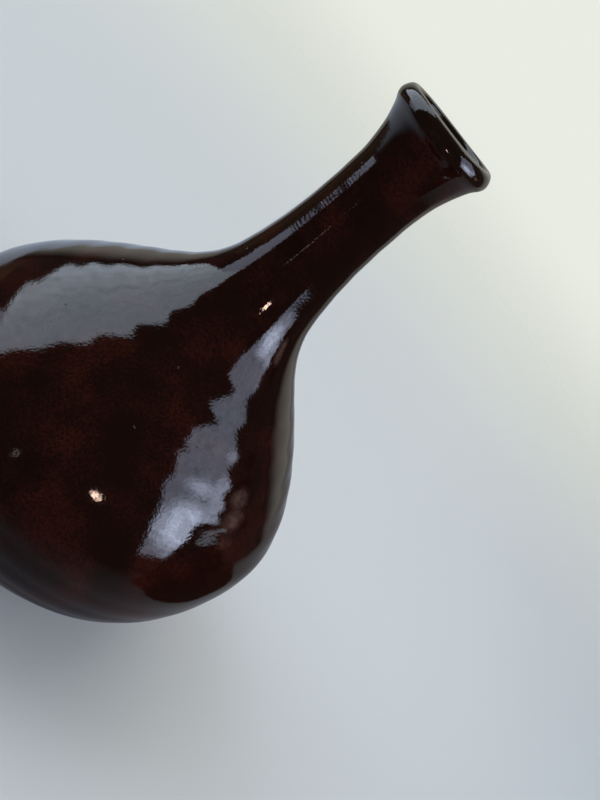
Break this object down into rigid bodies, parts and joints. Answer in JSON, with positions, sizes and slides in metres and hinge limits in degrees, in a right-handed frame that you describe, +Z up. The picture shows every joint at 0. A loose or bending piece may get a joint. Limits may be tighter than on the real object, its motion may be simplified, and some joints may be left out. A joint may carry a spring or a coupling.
{
  "type": "sake bottle",
  "caption": "Long-necked wheel-thrown stoneware bottle with a round belly, rolled lip and turned foot ring under a glossy dark iron glaze, for warming and pouring sake.",
  "frame": {"origin": "centre of the circle that the foot ring rests on", "axes": "+Z up along the bottle's axis, towards the mouth; X and Y are alike, because the bottle is turned"},
  "size_m": [0.1296, 0.1296, 0.188],
  "materials": {
    "foot_clay": "bare turned iron-bearing stoneware, matt",
    "body_clay": "bare fired stoneware, matt, seen only in a band above the foot and in the recess",
    "outer_glaze": "glossy near-black brown iron glaze with fine pits, thin and olive brown at the lip",
    "inner_glaze": "the same glaze poured inside, a little thinner and browner"
  },
  "bodies": {
    "root": {"foot_ring": "foot_clay", "lower_body": "body_clay", "shoulder": "body_clay", "neck": "body_clay", "lip": "body_clay", "outer_glaze": "outer_glaze", "inner_glaze": "inner_glaze"}
  },
  "joints": []
}
